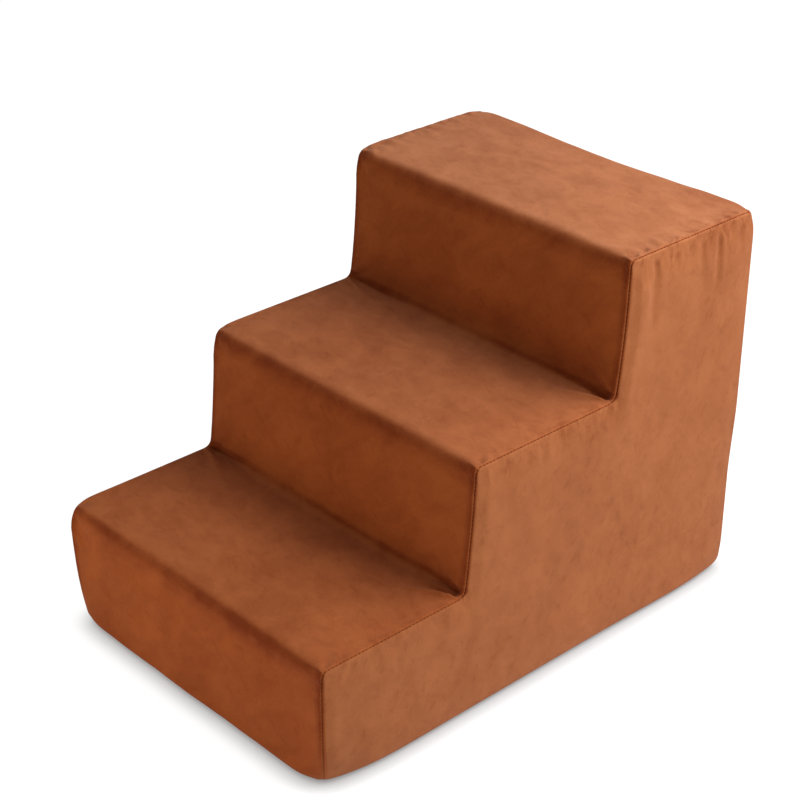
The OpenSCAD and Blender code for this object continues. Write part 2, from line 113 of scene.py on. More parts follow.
def early(share):
    """Rises from 0 to 1, most of it at the start."""
    return 1 - (1 - share) ** 4


# Waves in a sheet: height and patch size in millimetres, and how much u and v count
Wave = namedtuple("Wave", "height size u v", defaults=(1, 1))


def soft_noise(u, v, wave, seed):
    """Height of smooth waves over two coordinates."""
    table = np.random.RandomState(seed).uniform(-1, 1, (NOISE_CELLS, NOISE_CELLS))
    size = wave.size * MM
    a, b = wave.u * u / size + NOISE_START[0], wave.v * v / size + NOISE_START[1]
    i, j = np.floor(a).astype(int), np.floor(b).astype(int)
    fa, fb = smooth(a - i), smooth(b - j)

    def at(di, dj):
        return table[(i + di) % NOISE_CELLS, (j + dj) % NOISE_CELLS]

    return wave.height * MM * mix(mix(at(0, 0), at(1, 0), fa), mix(at(0, 1), at(1, 1), fa), fb)


def layered(u, v, waves, seed):
    return sum(soft_noise(u, v, wave, seed + k) for k, wave in enumerate(waves))


# A fold in cloth: its start, direction, length, width and height in degrees and millimetres, its
# bend, and the depth of the hollow beside it (the sign gives the side)
Fold = namedtuple("Fold", "u v degrees length width height bend hollow")
# Shares of its width that a fold starts with and gains, widths from it to its hollow, and shares of
# its length where it has risen and starts to fade
FOLD_START, FOLD_GAIN, HOLLOW_OFFSET, FOLD_RISEN, FOLD_FADES = 0.6, 0.8, 1.7, 0.16, 0.3


def folded(u, v, fold):
    """Height of one fold, which starts narrow and high, then widens and fades."""
    angle = math.radians(fold.degrees)
    du, dv = u - fold.u * MM, v - fold.v * MM
    length = fold.length * MM
    along = (du * math.cos(angle) + dv * math.sin(angle)) / length
    across = dv * math.cos(angle) - du * math.sin(angle) - fold.bend * length * along * along
    width = fold.width * MM * (FOLD_START + FOLD_GAIN * np.clip(along, 0, 1))
    aside = np.sign(fold.hollow) * HOLLOW_OFFSET * width
    shape = hill(across, width) - abs(fold.hollow) * hill(across - aside, width)
    fade = smooth(along / FOLD_RISEN) * (1 - smooth((along - FOLD_FADES) / (1 - FOLD_FADES)))
    return fold.height * MM * fade * shape


# Corners of the outline seen from the side, from the front foot round to the back foot: place, the
# ways that the edges before and after face, radius at the seams and in the middle
Corner = namedtuple("Corner", "y z before after seam_r middle_r")
DOWN, FORWARD, UP, BACKWARD = (np.array(d, float) for d in ((0, -1), (-1, 0), (0, 1), (1, 0)))
CORNERS = [Corner(FRONT_Y, 0, DOWN, FORWARD, FRONT_FOOT_R, FRONT_FOOT_R)]
for k, top in enumerate(LEVELS):
    CORNERS += [Corner(RISER_YS[k], top, FORWARD, UP, SEAM_CORNER_R, NOSING_R),
                Corner(RISER_YS[k + 1], top, UP, FORWARD, 0, 0)]
CORNERS[6:] = [Corner(BACK_Y, LEVELS[2], UP, BACKWARD, BACK_CORNER_R, BACK_NOSING_R),
               Corner(BACK_Y, 0, BACKWARD, DOWN, BACK_FOOT_R, BACK_FOOT_R)]


def turn_points(corner, share, inset, middle):
    """Points round an outward corner, set in from the outline."""
    c = CORNERS[corner]
    growth = smooth(middle) if corner == 6 else early(middle)
    r = np.maximum(mix(c.seam_r, c.middle_r, growth) - inset, LEAST_R)
    angle = share * math.pi / 2
    vertex = np.array([c.y, c.z]) - inset[:, None] * (c.before + c.after)
    before, after = (r * (1 - np.cos(angle)))[:, None], (r * (1 - np.sin(angle)))[:, None]
    return vertex - (before * c.before + after * c.after)


def bridge(corner, height):
    """How far ahead of the riser the cloth is at a height above the tread, and its slope."""
    top = BRIDGE_TOP * (CORNERS[corner + 1].z - CORNERS[corner].z)
    power = BRIDGE_POWERS[corner]
    rest = np.maximum(1 - height / top, 0)
    return BRIDGE * rest**power, -BRIDGE * power / top * rest ** (power - 1)


def hollow_cut(inset, middle):
    return mix(HOLLOW_AT_SEAM, HOLLOW_IN_MIDDLE, early(middle)) + inset / 2


def hollow_points(corner, share, inset, middle):
    """Points round an inner corner, where the cloth leaves the tread for the riser."""
    c = CORNERS[corner]
    y, z, cut = c.y + inset, c.z - inset, hollow_cut(inset, middle)
    ahead, slope = bridge(corner, cut)
    knee = y - ahead + slope * cut
    first, last = (1 - share) ** 2, share**2
    both = 2 * share * (1 - share)
    across = first * (knee - cut) + both * knee + last * (y - ahead)
    return np.stack([across, z + last * cut], axis=1)


def riser_points(corner, share, inset, middle):
    """Points up a riser, from its inner corner to the nosing."""
    c = CORNERS[corner]
    cut = hollow_cut(inset, middle)
    top = turn_points(corner + 1, 0 * share, inset, middle)[:, 1]
    height = mix(cut, top - c.z + inset, share)
    return np.stack([c.y + inset - bridge(corner, height)[0], c.z - inset + height], axis=1)


def line_points(corner, share, inset, middle):
    """Points along a straight edge."""
    after = (corner + 1) % len(CORNERS)
    start = turn_points(corner, np.ones_like(share), inset, middle)
    ends = hollow_points if after in BRIDGE_POWERS else turn_points
    end = ends(after, 0 * share, inset, middle)
    return mix(start, end, share[:, None])


def slot_half(middle):
    return SLOT_HALF * np.clip((SLOT_END - (1 - middle) * REACH) / SLOT_TAPER, 0, 1)


# A stretch of the outline: how its points are found, its corner, their shares of it, how far each
# belongs to a rolled foot, and the height of its crown
Stretch = namedtuple("Stretch", "points corner shares foot crown")
# Rows of a mesh round each corner
TURN_STEPS = 18, 11, 15, 11, 15, 11, 11, 13
# Distances of the rows from the slot's folded edge
FOLD_ROWS = mm(4.3, 3.7, 3.3, 3, 2.7, 2.3, 1.8, 1.4, 1, 0.65, 0.35, 0.12, 0)


def stretch(points, corner, count, crown=0.0, foot=0.0):
    shares = np.arange(count) / count
    return Stretch(points, corner, shares, foot + 0 * shares, crown)


def turn(corner):
    points = hollow_points if corner in BRIDGE_POWERS else turn_points
    made = stretch(points, corner, TURN_STEPS[corner])
    rolled = {0: 1 - smooth(made.shares), 7: smooth(made.shares)}
    return made._replace(foot=rolled.get(corner, made.foot))


def edge(points, corner, length, crown, foot=0.0):
    return stretch(points, corner, round(length / STEP), crown, foot)


def back_points(corner, share, inset, middle):
    """Points down the back, from the top edge to the slot or from the slot to the foot."""
    side = 1 if corner == 6 else -1
    end = turn_points(corner, 0 * share + (side > 0), inset, middle)
    ends = (end[:, 1], ZIP_Z + side * slot_half(middle))[::side]
    return np.stack([end[:, 0], mix(*ends, share)], axis=1)


def slot_shares(length):
    """Shares of a stretch that ends at the slot, close together there."""
    count = round((length - FOLD_ROWS[0]) / STEP)
    even = np.arange(count) / count * (1 - FOLD_ROWS[0] / length)
    return join([even, 1 - FOLD_ROWS / length])


ABOVE_SHARES = slot_shares(LEVELS[2] - NOSING_R - ZIP_Z - SLOT_HALF)
BELOW_SHARES = 1 - slot_shares(ZIP_Z - SLOT_HALF - BACK_FOOT_R)[::-1]
STEPS = []
for k in range(3):
    STEPS += [turn(2 * k), edge(riser_points if k else line_points, 2 * k, RISES[k], RISER_CROWN),
              turn(2 * k + 1), edge(line_points, 2 * k + 1, TREADS[k], TREAD_CROWN)]
STEPS.append(turn(6))
BAND = STEPS + [Stretch(back_points, 6, ABOVE_SHARES, 0 * ABOVE_SHARES, BACK_CROWN)]
HEM = [
    Stretch(back_points, 7, BELOW_SHARES[:-1], 0 * BELOW_SHARES[:-1], 0),
    turn(7), Stretch(turn_points, 7, np.ones(1), np.ones(1), 0),
]
LOOP = STEPS + [
    edge(line_points, 6, LEVELS[2], 0), turn(7), edge(line_points, 7, sum(TREADS), 0, 1.0)
]

# A station across the stairs: along is 0 on the side panel, 1 at the seam and 2 on the strip,
# middle the share of the way to the middle, and panel the way in over the side panel
Station = namedtuple("Station", "along middle panel", defaults=(0, 0))
SEAM, MEASURED = Station(1), Station(2, 0.6)
SEAM_ANGLE = math.pi / 4


def place(path, station, closed=False):
    """Points of the cover's face along a path, and the directions they face."""
    foot = join([s.foot for s in path])
    r = mix(SIDE_EDGE_R, BOTTOM_EDGE_R, foot)
    seam = mix(SEAM_ANGLE, math.pi / 2, foot)
    past = max(station.along - 1, 0)
    angle = min(station.along, 1) * seam + past * (math.pi / 2 - seam)
    inset = r * (1 - np.sin(angle)) + station.panel
    tuck = foot * (FOOT_TUCK * np.clip(2 * station.along - 1, 0, 1) + FOOT_FLAT * past)
    x = HALF_W - mix(r * (1 - np.cos(angle)) + tuck, HALF_W, station.middle)
    parts = np.split(inset, np.cumsum([len(s.shares) for s in path])[:-1])
    yz = join([s.points(s.corner, s.shares, part, station.middle) for s, part in zip(path, parts)])
    if closed:
        way = np.roll(yz, -1, axis=0) - np.roll(yz, 1, axis=0)
    else:
        way = np.gradient(yz, axis=0)
    way /= np.maximum(np.linalg.norm(way, axis=1, keepdims=True), 1e-9)
    up = np.sin(angle)
    facing = np.stack([np.cos(angle), -up * way[:, 1], up * way[:, 0]], axis=1)
    return np.column_stack([x, yz]), facing


def travelled(points, axis=0):
    """Distance of each point from the first one along an axis."""
    steps = np.linalg.norm(np.diff(points, axis=axis), axis=-1)
    return np.insert(np.cumsum(steps, axis=axis), 0, 0, axis=axis)


def lengths_along(path):
    """Distance of each point along a path, measured well in from the seams."""
    return travelled(place(path, MEASURED)[0][:, 1:])


def crown_of(path):
    """Height of the crown along a path: none at the ends of an edge, full over its middle."""
    return join([s.crown * (smooth(s.shares / CROWN_RUN) * smooth((1 - s.shares) / CROWN_RUN))
                 for s in path])


band_s = lengths_along(BAND)
starts = np.cumsum([0] + [len(s.shares) for s in STEPS])
CORNER_S = {s.corner: band_s[a + len(s.shares) // 2] for s, a in zip(STEPS, starts) if s.crown == 0}

# How the cover is pulled in, at the floor by side and at some outward corners
CORNER_PULL, SIDE_PULL = mm(45, 110)
FRONT_PULLS = {1: 15 * MM, -1: 7.5 * MM}
FRONT_PULL_Z = 75 * MM
BACK_PULL, BACK_PULL_Z = mm(3, 42)
FLARE, FLARE_Y, FLARE_RUN, FLARE_Z = mm(2, 205, 75, 24)
BACK_LEAN, BACK_LEAN_Z, BACK_LEAN_RUN = mm(2, 200, 90)
LEFT_BULGE, LEFT_BULGE_Z, LEFT_BULGE_HEIGHT = mm(1.8, 110, 40)
SOFT_CORNERS = [
    (1, -1, 5 * MM), (3, -1, 3.5 * MM), (5, -1, 3.5 * MM), (6, -1, 4.5 * MM), (6, 1, 4.5 * MM)
]
SOFT_CORNER_REACH = 14 * MM


def pulled(distance, reach):
    return np.clip(1 - abs(distance) / reach, 0, 1) ** 3


def settled(points):
    """Points of the cover, pulled in at its corners."""
    x, y, z = np.moveaxis(np.asarray(points, float), -1, 0)
    edge_x, edge_y = HALF_W - abs(x), np.minimum(y - FRONT_Y, BACK_Y - y)
    front = np.where(x > 0, FRONT_PULLS[1], FRONT_PULLS[-1])
    front = front * np.clip(1 - z / FRONT_PULL_Z, 0, 1) ** 2
    front = front - np.where(x < 0, LEFT_BULGE, 0) * hill(z - LEFT_BULGE_Z, LEFT_BULGE_HEIGHT)
    back = BACK_PULL * np.clip(1 - z / BACK_PULL_Z, 0, 1) ** 2
    back = back + BACK_LEAN * smooth((BACK_LEAN_Z - z) / BACK_LEAN_RUN)
    pull = np.where(y < 0, front, back)
    inward = pull * pulled(edge_y, SIDE_PULL) * smooth((HALF_W - edge_x) / HALF_W)
    inward = inward - FLARE * hill(y - FLARE_Y, FLARE_RUN) * hill(z, FLARE_Z)
    onward = pull * pulled(edge_x, CORNER_PULL) * smooth(abs(y) / BACK_Y)
    made = np.stack([x - np.sign(x) * inward, y - np.sign(y) * onward, z], axis=-1)
    for corner, side, amount in SOFT_CORNERS:
        c = CORNERS[corner]
        vertex = np.array([side * HALF_W, c.y, c.z])
        inside = -np.array([side, *(c.before + c.after)]) / math.sqrt(3)
        distance = np.linalg.norm(np.asarray(points) - vertex, axis=-1)
        made += amount * hill(distance, SOFT_CORNER_REACH)[..., None] * inside
    return made


# Distances of the columns from a side seam, on and past its rounded edge
SEAM_COLUMNS = mm(0, 0.25, 0.55, 0.9, 1.3, 1.8, 2.4, 3)
EDGE_COLUMNS = mm(0, 0.8, 1.7, 2.7, 3.9, 5.2, 6.7, 8.4, 10.4, 12.6)
EDGE_ARC = SIDE_EDGE_R * (math.pi / 2 - SEAM_ANGLE)


def strip_grid(path):
    """Points and facings of a strip, from the right seam to the left one."""
    count = round((REACH - EDGE_COLUMNS[-1]) / STEP)
    flat = join([EDGE_COLUMNS[:-1], np.linspace(EDGE_COLUMNS[-1], REACH, count)])
    stations = [Station(1 + d / EDGE_ARC) for d in SEAM_COLUMNS]
    placed = [place(path, s) for s in stations + [Station(2, d / REACH) for d in flat]]
    halves = (np.stack(part, axis=1) for part in zip(*placed))
    return [join([half, half[:, -2::-1] * (-1, 1, 1)], axis=1) for half in halves]


def seam_distance(points):
    """Distance over a strip from the nearer seam."""
    right = travelled(points, axis=1)
    return np.minimum(right, right[:, -1:] - right)


# The valley of a seam and the roll of cloth beside it
SEAM_DEPTH, SEAM_WIDTH, ROLL_AT, ROLL_WIDTH = mm(0.85, 0.6, 3.2, 2)
STRIP_ROLL, TREAD_ROLL, SIDE_ROLL = mm(0.42, 0.08, 0.06)
# How far from a seam folds and waves have their full height
FOLD_FREE, STRIP_FREE, SIDE_FREE = mm(3, 14, 12)
# The folded edge beside the slot, and the groove of its topstitching
SLOT_DIP, SLOT_DIP_WIDTH = mm(1, 0.8)
SLOT_ROLL, SLOT_ROLL_AT, SLOT_ROLL_WIDTH = mm(0.15, 2.2, 1.5)
TOPSTITCH, GROOVE, GROOVE_WIDTH, GROOVE_FADE = mm(3, 0.28, 0.5, 4)


def seam_lift(distance, roll):
    return roll * hill(distance - ROLL_AT, ROLL_WIDTH) - SEAM_DEPTH * hill(distance, SEAM_WIDTH)


# Folds from the side seam at an inner corner: u runs in from the seam, v up the riser
HOLLOW_FOLDS = [
    Fold(1, -7, -14, 66, 4.2, 3.1, -0.16, 0.9),
    Fold(1, 7, 24, 46, 3.8, 1.7, 0.10, -0.8),
    Fold(1, 0, 2, 95, 5, -3.3, 0.02, 0),
    Fold(2, -14, -44, 58, 6, 0.6, 0.10, 0.6),
    Fold(2, 16, 52, 70, 5, 0.55, -0.10, 0.6),
    Fold(3, 30, 66, 60, 5, 0.35, -0.15, 0.5),
]
# Folds at an outward corner: v runs up the riser and over the tread
NOSE_FOLDS = [
    Fold(1.5, -11, -34, 34, 5, -1.5, 0.10, 0),
    Fold(2, -24, -62, 36, 4.5, 0.6, 0.10, 0.6),
    Fold(1, 2, 14, 20, 3.6, 0.9, 0.1, 0),
    Fold(1.5, 11, 38, 30, 4.4, -0.8, 0.15, 0),
    Fold(2, 21, 24, 34, 4, 0.5, 0.2, 0.6),
]


# How much folds change, in millimetres, degrees and shares
LOOSE_V, LOOSE_DEGREES, LOOSE_LENGTH, LOOSE_HEIGHT = 1.5, 6, 0.18, 0.2


def loosened(folds, seed, amount=1.0):
    """The same folds with small changes."""
    random = np.random.RandomState(seed)
    made = []
    for f in folds:
        a, b, c, d = random.uniform(-amount, amount, 4)
        length, height = f.length * (1 + LOOSE_LENGTH * c), f.height * (1 + LOOSE_HEIGHT * d)
        made.append(f._replace(v=f.v + LOOSE_V * a, degrees=f.degrees + LOOSE_DEGREES * b,
                               length=length, height=height))
    return made


def top_puckers(seed):
    """Short crescent folds along the top tread's seam."""
    random = np.random.RandomState(seed)
    at, end = CORNER_S[5] / MM + 20, CORNER_S[6] / MM - 14
    made = [
        Fold(3, at + 7, 22, 34, 4.8, -1.1, -0.5, 0.8),
        Fold(2, at - 10, 12, 18, 4.4, -0.6, 0, 0),
    ]
    while at < end:
        a, b, c, d = random.uniform(0, 1, 4)
        made.append(Fold(0.8, at, 30 - 50 * a, 18 + 30 * b, 3.4 + 2 * c, 0.4 + 0.6 * d, -0.5, 0.8))
        at += random.uniform(12, 27)
    return made


# How uneven the cloth is, and how it is crumpled beside the top tread's seams
STRIP_WAVES = [Wave(0.8, 78), Wave(0.28, 27), Wave(0.05, 9)]
SIDE_WAVES = [Wave(0.55, 85), Wave(0.24, 17, 1, 0.45), Wave(0.06, 7, 1, 0.6)]
STRIP_CRUMPLE, SIDE_CRUMPLE = Wave(0.5, 12, 0.6), Wave(0.75, 11, 1, 0.45)
CRUMPLE_AT, STRIP_CRUMPLE_WIDTH, SIDE_CRUMPLE_WIDTH = mm(15, 15, 19.5)
TREAD_FADE, SIDE_CRUMPLE_FREE = mm(12, 5)
# How far from the slot and the floor there are no waves, and the run over which they return
SLOT_STIFF, SLOT_FREE, FLOOR_STIFF, FLOOR_FREE = mm(5, 16, 3, 14)
BACK_DEPTH = 8 * MM


def strip_folds(side):
    seed = SEED + (0 if side > 0 else 50)
    folds = []
    for corner in (2, 4, 1, 3, 5):
        kind = NOSE_FOLDS if corner % 2 else HOLLOW_FOLDS
        folds += [(CORNER_S[corner], f) for f in loosened(kind, seed + corner)]
    return folds + [(0, f) for f in top_puckers(seed)]


def on_tread(run, first, last):
    """1 over the tread between two corners, and 0 beyond them."""
    start, end = run - CORNER_S[first], CORNER_S[last] - run
    return smooth(start / TREAD_FADE) * smooth(end / TREAD_FADE)


def strip_lift(path, s, points):
    """How far a strip's points stand out from its plain form."""
    x = points[:, :, 0]
    seam = seam_distance(points)
    run = np.repeat(s[:, None], x.shape[1], axis=1)
    inward = np.clip(1 - abs(x) / REACH, 0, 1)
    lift = crown_of(path)[:, None] * (1 - (1 - inward) ** 3)
    off_slot = smooth((abs(points[:, :, 2] - ZIP_Z) - SLOT_HALF - SLOT_STIFF) / SLOT_FREE)
    on_back = points[:, :, 1] > BACK_Y - BACK_DEPTH
    free = smooth(seam / STRIP_FREE) * np.where(on_back, off_slot, 1)
    lift = lift + free * layered(x, run, STRIP_WAVES, SEED + 1)
    for side in (1, -1):
        half = x * side > 0
        u, v = HALF_W - abs(x[half]), run[half]
        total = sum(folded(u, v - origin, fold) for origin, fold in strip_folds(side))
        lift[half] += total * smooth(seam[half] / FOLD_FREE)
    top = on_tread(run, 5, 6)
    flat = on_tread(run, 1, 2) + on_tread(run, 3, 4) + top
    crumple = top * hill(seam - CRUMPLE_AT, STRIP_CRUMPLE_WIDTH)
    crumple = crumple * soft_noise(x, run, STRIP_CRUMPLE, SEED + 4)
    return lift + crumple + seam_lift(seam, mix(STRIP_ROLL, TREAD_ROLL, flat))


def quads(rows, columns, first=0, closed=False):
    """Faces of a grid whose points are numbered row by row."""
    i = np.arange(rows - 1)[:, None] * columns
    j = np.arange(columns if closed else columns - 1)[None, :]
    after = (j + 1) % columns
    faces = np.stack([i + j, i + columns + j, i + columns + after, i + after], axis=2)
    return [tuple(f) for f in (faces.reshape(-1, 4) + first).tolist()]


def capped(rows, columns, first):
    """Faces of a closed grid of rings, with a cap at each end."""
    ring = range(first, first + columns)
    last = [i + (rows - 1) * columns for i in ring]
    return quads(rows, columns, first, closed=True) + [tuple(ring), tuple(last[::-1])]


def circle_of(sides):
    turns = np.arange(sides) / sides * math.tau
    return [(math.cos(a), math.sin(a)) for a in turns]


def linked(name, data):
    made = bpy.data.objects.new(name, data)
    bpy.context.scene.collection.objects.link(made)
    return made


def finished(name, mesh, material):
    mesh.shade_smooth()
    mesh.materials.clear()
    mesh.materials.append(material)
    mesh.update()
    return linked(name, mesh)


def make_object(name, points, faces, material):
    mesh = bpy.data.meshes.new(name)
    mesh.from_pydata(np.asarray(points).tolist(), [], faces)
    return finished(name, mesh, material)


def closed_sheet(name, outer, inner, faces, rim, material, flip=False):
    """A sheet with both faces. Its faces look outward; rim is its open edge in order."""
    count = len(outer)
    if flip:
        faces, rim = [f[::-1] for f in faces], rim[::-1]
    below = [tuple(i + count for i in f[::-1]) for f in faces]
    rim = rim.tolist()
    edges = [(a, b, b + count, a + count) for a, b in zip(rim, rim[1:] + rim[:1])]
    return make_object(name, join([outer, inner]), [*faces, *below, *edges], material)


def grid_sheet(name, outer, inner, material, flip=False):
    rows, columns = outer.shape[:2]
    order = np.arange(rows * columns).reshape(rows, columns)
    rim = join([order[0, :-1], order[:-1, -1], order[-1, :0:-1], order[:0:-1, 0]])
    outer, inner = outer.reshape(-1, 3), inner.reshape(-1, 3)
    return closed_sheet(name, outer, inner, quads(rows, columns), rim, material, flip)


def strip(name, path, s, material, slot_row):
    """A strip of the cover, with its edge beside the slot folded under."""
    points, facing = strip_grid(path)
    lift = strip_lift(path, s, points)
    slot_d = abs(s - s[slot_row])[:, None]
    lift -= SLOT_DIP * hill(slot_d, SLOT_DIP_WIDTH)
    lift += SLOT_ROLL * hill(slot_d - SLOT_ROLL_AT, SLOT_ROLL_WIDTH)
    stitched = 1 - smooth((abs(points[:, :, 0]) - SLOT_END) / GROOVE_FADE)
    lift -= GROOVE * stitched * hill(slot_d - TOPSTITCH, GROOVE_WIDTH)
    outer = points + facing * lift[:, :, None]
    outer[:, :, 2] = np.maximum(outer[:, :, 2], 0)
    return grid_sheet(name, settled(outer), settled(outer - facing * CLOTH_T), material)


# Runs over which a side panel rises to its crown: from most seams, risers 2 and 3, and riser 1
PANEL_RUN, RISER_RUN, FRONT_RUN = mm(39, 13, 10)
# The share of a bevel's run over which it rounds off, and the ridge past it
BEVEL_SOFT, RIDGE, RIDGE_AT, RIDGE_WIDTH = 0.4, 0.1, 1.3, 0.45
SEAM_INSET = SIDE_EDGE_R * (1 - math.sin(SEAM_ANGLE))
RING_STATIONS = [Station(1 - d / EDGE_ARC) for d in SEAM_COLUMNS]
RING_STATIONS += [Station(0, 0, d * MM) for d in (0, 0.8, 1.8, 3, 4.4)]
# How far inner points stay from the ring round a panel, in steps
RING_CLEAR = 0.7

# Folds on the side panel under the top tread: u runs back from the top riser, v up from the tread
SIDE_FOLDS = [
    Fold(24, -24, -93, 84, 6.5, 1.0, 0.05, 0.8),
    Fold(15, -16, -91, 90, 4.5, 0.6, 0.02, 0),
    Fold(34, -6, -84, 52, 4.2, -1.2, -0.10, 0.5),
    Fold(49, -6, -99, 22, 3, 0.6, 0.14, 0.6),
    Fold(62, -6, -88, 30, 3.4, -0.7, 0.12, 0.6),
    Fold(81, -6, -82, 20, 2.8, -0.6, -0.12, -0.6),
    Fold(101, -6, -95, 50, 3.8, -1.0, 0.08, 0.6),
    Fold(124, -5, -88, 76, 4.2, -1.6, -0.05, 0.5),
    Fold(136, -6, -80, 30, 3, 0.8, 0.08, 0),
    Fold(159, -7, -99, 46, 5, -1.2, 0.14, 0.5),
]


def rise(distance, run):
    return 1 - (1 - np.clip(distance / run, 0, 1)) ** 2


def bevel(distance, run):
    """Rises from 0 and rounds off to 1, with a soft ridge just past the run."""
    t = np.clip(distance / run, 0, 1 + BEVEL_SOFT / 2)
    over = np.maximum(t - 1 + BEVEL_SOFT / 2, 0)
    ridge = RIDGE * hill(distance - RIDGE_AT * run, RIDGE_WIDTH * run)
    return t - over * over / (2 * BEVEL_SOFT) + ridge


def side_crown(y, z):
    share = bevel(y - FRONT_Y - SEAM_INSET, FRONT_RUN)
    for distance in (BACK_Y - y - SEAM_INSET, LEVELS[2] - z - SEAM_INSET, z - BOTTOM_EDGE_R / 2):
        share = share * rise(distance, PANEL_RUN)
    for corner, level in ((2, LEVELS[0]), (4, LEVELS[1])):
        ahead = bridge(corner, np.maximum(z - level, 0))[0]
        behind = y - CORNERS[corner].y + ahead - SEAM_INSET
        a, b = rise(level - z - SEAM_INSET, PANEL_RUN), bevel(behind, RISER_RUN)
        share = share * (a + b - a * b)
    return SIDE_CROWN * share


def tread_puckers(seed):
    """Small folds on a side panel below the two lower treads."""
    random = np.random.RandomState(seed)
    made = []
    for k in (0, 1):
        at = RISER_YS[k] + 16 * MM
        while at < RISER_YS[k + 1] - 22 * MM:
            a, b, c = random.uniform(0, 1, 3)
            made.append(Fold((at - RISER_YS[2]) / MM, (LEVELS[k] - LEVELS[2]) / MM - 5,
                             -80 - 20 * a, 12 + 16 * b, 3, 0.15 + 0.25 * c, 0, 0.8))
            at += random.uniform(14, 34) * MM
    return made


def side_lift(y, z, seam, side):
    """How far a side panel's points stand out from its plain form."""
    seed = SEED + (100 if side > 0 else 150)
    free = smooth(seam / SIDE_FREE) * smooth((z - FLOOR_STIFF) / FLOOR_FREE)
    lift = side_crown(y, z) + free * layered(y, z, SIDE_WAVES, seed)
    folds = SIDE_FOLDS if side > 0 else loosened(SIDE_FOLDS, seed, 2)
    for f in folds + tread_puckers(seed + 3):
        lift = lift + folded(y - RISER_YS[2], z - LEVELS[2], f) * smooth(seam / FOLD_FREE)
    gathered = hill(LEVELS[2] - z - CRUMPLE_AT, SIDE_CRUMPLE_WIDTH)
    gathered = gathered * smooth(seam / SIDE_CRUMPLE_FREE)
    crumple = gathered * soft_noise(y, z, SIDE_CRUMPLE, seed + 4)
    return lift + crumple + seam_lift(seam, SIDE_ROLL)


def filled(ring, normals):
    """Points and triangles that fill a ring of points."""
    tree = KDTree(len(ring))
    for i, at in enumerate(ring):
        tree.insert((*at, 0), i)
    tree.balance()
    low, high = ring.min(axis=0), ring.max(axis=0)
    rows = np.arange(low[1], high[1], STEP * math.sqrt(0.75))
    inner = []
    for k, z in enumerate(rows):
        for y in np.arange(low[0] + (k % 2) * STEP / 2, high[0], STEP):
            at, i, distance = tree.find((y, z, 0))
            inside = (y - at.x) * normals[i][0] + (z - at.y) * normals[i][1] < 0
            if inside and distance > RING_CLEAR * STEP:
                inner.append((y, z))
    points = [Vector(at) for at in ring.tolist() + inner]
    border = [(i, (i + 1) % len(ring)) for i in range(len(ring))]
    _, _, faces, origins, _, _ = delaunay_2d_cdt(points, border, [], 1, 1e-7)
    number = [o[0] for o in origins]
    return np.array(inner), [tuple(number[i] for i in f) for f in faces]


def side_panel(side, material):
    """A side panel, from its seam round the edge to the flat, filled with triangles."""
    placed = [place(LOOP, station, closed=True) for station in RING_STATIONS]
    points, facing = (np.stack(part) for part in zip(*placed))
    rows, columns = points.shape[:2]
    seam = travelled(points)
    outward = place(LOOP, SEAM, closed=True)[1][:, 1:]
    inner, faces = filled(points[-1][:, 1:], outward)
    first = (rows - 1) * columns
    far = np.full(len(inner), HALF_W)
    points = join([points.reshape(-1, 3), np.column_stack([far, inner])])
    facing = join([facing.reshape(-1, 3), np.tile(CROSS, (len(inner), 1))])
    seam = join([seam.ravel(), 0 * far + PANEL_RUN])
    lift = side_lift(points[:, 1], points[:, 2], seam, side)
    outer = points + facing * lift[:, None]
    outer[:, 2] = np.maximum(outer[:, 2], 0)
    outer, inside = (settled(at * (side, 1, 1)) for at in (outer, outer - facing * CLOTH_T))
    faces = quads(rows, columns, closed=True) + [tuple(i + first for i in f) for f in faces]
    name = f"side_cloth_{SIDE_NAMES[side]}"
    return closed_sheet(name, outer, inside, faces, np.arange(columns), material, flip=side < 0)


# Sewing thread, and how long and far apart its stitches are
THREAD_R, THREAD_SPREAD, THREAD_ROWS, THREAD_SIDES = 0.33 * MM, 1.25, 7, 6
SEAM_STITCH, SEAM_PITCH, TOP_STITCH, TOP_PITCH = mm(1.9, 4.3, 2.6, 3.4)
SEAM_THREAD_LIFT, SLOT_THREAD_LIFT = mm(-0.3, -0.1)
# How much stitches change, in shares, and how their ends dip and taper
LENGTH_CHANGE, PLACE_CHANGE, DEPTH_CHANGE, THREAD_DIP, THREAD_END = 0.22, 0.06, 0.2, 0.9, 0.08


def thread_run(name, points, facing, length, pitch, lift, material):
    """Stitches along a line: bent beads of thread whose ends go into the cloth."""
    at = travelled(points)
    way = np.gradient(points, axis=0)
    way /= np.linalg.norm(way, axis=1, keepdims=True)

    def sample(values, where):
        return np.array([np.interp(where, at, values[:, k]) for k in range(3)])

    random = np.random.RandomState(SEED + len(name))
    circle = circle_of(THREAD_SIDES)
    verts, faces = [], []
    for middle in np.arange(pitch, at[-1] - pitch, pitch):
        first = len(verts)
        long, shift, sunk = random.uniform(-1, 1, 3)
        middle += PLACE_CHANGE * pitch * shift
        half = (1 + LENGTH_CHANGE * long) * length / 2
        up, along = sample(facing, middle), sample(way, middle)
        across = np.cross(up, along)
        for t in np.linspace(-1, 1, THREAD_ROWS):
            sink = lift + DEPTH_CHANGE * THREAD_R * sunk - THREAD_DIP * THREAD_R * t * t
            centre = sample(points, middle + t * half) + up * sink
            r = THREAD_R * math.sqrt(max(1 - t * t, THREAD_END))
            verts += [centre + r * (c * up + THREAD_SPREAD * s * across) for c, s in circle]
        faces += capped(THREAD_ROWS, THREAD_SIDES, first)
    return make_object(name, verts, faces, material)


def seam_threads(side, material):
    """The stitches in a side seam, from foot to foot."""
    upper, lower = (place(path, SEAM) for path in (BAND, HEM[:-1]))
    flip = np.array([side, 1, 1])
    points, facing = (join([a, b[1:]]) * flip for a, b in zip(upper, lower))
    return thread_run(f"seam_stitches_{SIDE_NAMES[side]}", settled(points), facing,
                      SEAM_STITCH, SEAM_PITCH, SEAM_THREAD_LIFT, material)


